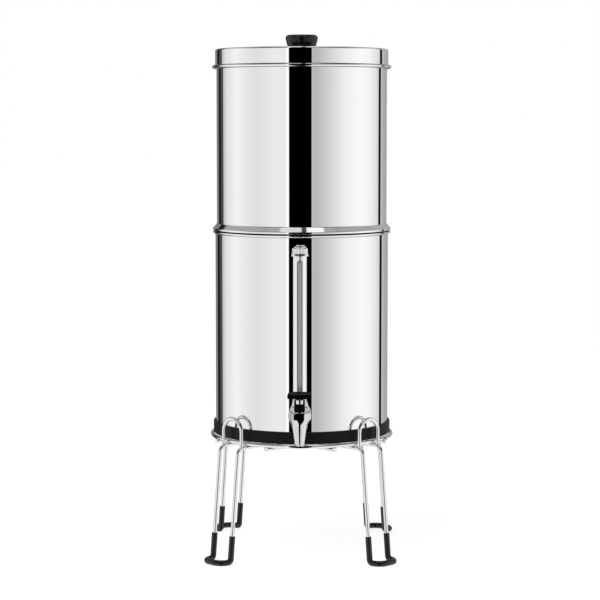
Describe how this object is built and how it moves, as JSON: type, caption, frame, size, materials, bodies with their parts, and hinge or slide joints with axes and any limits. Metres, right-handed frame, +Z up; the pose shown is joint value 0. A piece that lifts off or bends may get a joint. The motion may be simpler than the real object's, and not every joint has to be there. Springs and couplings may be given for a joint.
{
  "type": "gravity water filter with tap",
  "caption": "Two stacked polished steel chambers with a domed lid, front lever tap and sight gauge, on a splayed wire stand; water filters down through the elements inside.",
  "frame": {"origin": "on the floor, under the middle of the whole outline; the chambers' axis is 27.12 mm behind it because the tap reaches forward", "axes": "+Z up along the chambers' axis, -Y towards the tap, +X to the right for someone facing the tap"},
  "size_m": [0.2392, 0.2937, 0.6564],
  "materials": {
    "polished_sheet": "mirror-polished stainless steel sheet",
    "bright_wire": "bright drawn stainless steel wire",
    "sleeve_vinyl": "soft black, slightly glossy",
    "base_rubber": "satin black rubber",
    "tap_plating": "polished plated metal",
    "shield_steel": "polished stainless steel tube",
    "sight_glass": "clear glass tube",
    "small_steel": "plain stainless steel",
    "seal_rubber": "matt silicone rubber",
    "seat_silicone": "translucent white silicone",
    "lever_plastic": "black moulded plastic",
    "knob_plastic": "glossy black moulded plastic",
    "carbon_block": "porous pressed carbon",
    "filter_plastic": "black moulded plastic",
    "nut_plastic": "white moulded plastic"
  },
  "bodies": {
    "stand": {"stand_hoop": "bright_wire", "leg_front_left": "bright_wire", "leg_front_right": "bright_wire", "leg_rear_left": "bright_wire", "leg_rear_right": "bright_wire", "loop_front_left": "bright_wire", "loop_front_right": "bright_wire", "loop_rear_left": "bright_wire", "loop_rear_right": "bright_wire", "sleeve_front_left": "sleeve_vinyl", "sleeve_front_right": "sleeve_vinyl", "sleeve_rear_left": "sleeve_vinyl", "sleeve_rear_right": "sleeve_vinyl"},
    "lower_vessel": {"lower_chamber": "polished_sheet", "base_ring": "base_rubber", "base_pad": "base_rubber", "tap_body": "tap_plating", "tap_bonnet": "tap_plating", "bonnet_guide": "lever_plastic", "heel_plate": "small_steel", "tap_spring": "small_steel", "shank_nut": "tap_plating", "shank_washer_outer": "seal_rubber", "shank_washer_inner": "seal_rubber", "gauge_gland": "tap_plating", "gauge_glass": "sight_glass", "gauge_shield": "shield_steel", "gauge_cap": "tap_plating", "gauge_seals": "seal_rubber"},
    "valve_stem": {"tap_stem": "small_steel", "seat_cup": "seat_silicone"},
    "lever": {"tap_lever": "lever_plastic", "lever_pin": "small_steel"},
    "upper_vessel": {"upper_chamber": "polished_sheet", "filter_element_left": "carbon_block", "filter_element_right": "carbon_block", "filter_base_left": "filter_plastic", "filter_base_right": "filter_plastic", "filter_top_left": "filter_plastic", "filter_top_right": "filter_plastic", "filter_washers": "seal_rubber", "wing_nuts": "nut_plastic"},
    "cover": {"lid": "polished_sheet", "lid_knob": "knob_plastic", "knob_screw": "small_steel", "knob_washer": "small_steel"}
  },
  "joints": [
    {"name": "vessel_lift", "type": "slide", "parent": "stand", "child": "lower_vessel", "axis": [0, 0, 1], "range_m": [0, 0.06]},
    {"name": "upper_lift", "type": "slide", "parent": "lower_vessel", "child": "upper_vessel", "axis": [0, 0, 1], "range_m": [0, 0.09]},
    {"name": "lid_lift", "type": "slide", "parent": "upper_vessel", "child": "cover", "axis": [0, 0, 1], "range_m": [0, 0.06]},
    {"name": "stem_lift", "type": "slide", "parent": "lower_vessel", "child": "valve_stem", "axis": [0, 0, 1], "range_m": [0, 0.00305], "stiffness_N_per_m": 60, "springref_m": -0.01, "deforming": ["tap_spring"]},
    {"name": "lever_tilt", "type": "hinge", "parent": "valve_stem", "child": "lever", "pos_m": [0, -0.12287, 0.216], "axis": [1, 0, 0], "range_deg": [0, 35], "stiffness_Nm_per_rad": 0.0004, "springref_deg": -68.75}
  ],
  "couplings": [
    {"joint": "lever_tilt", "follows": "stem_lift", "rad_per_m": 200}
  ]
}
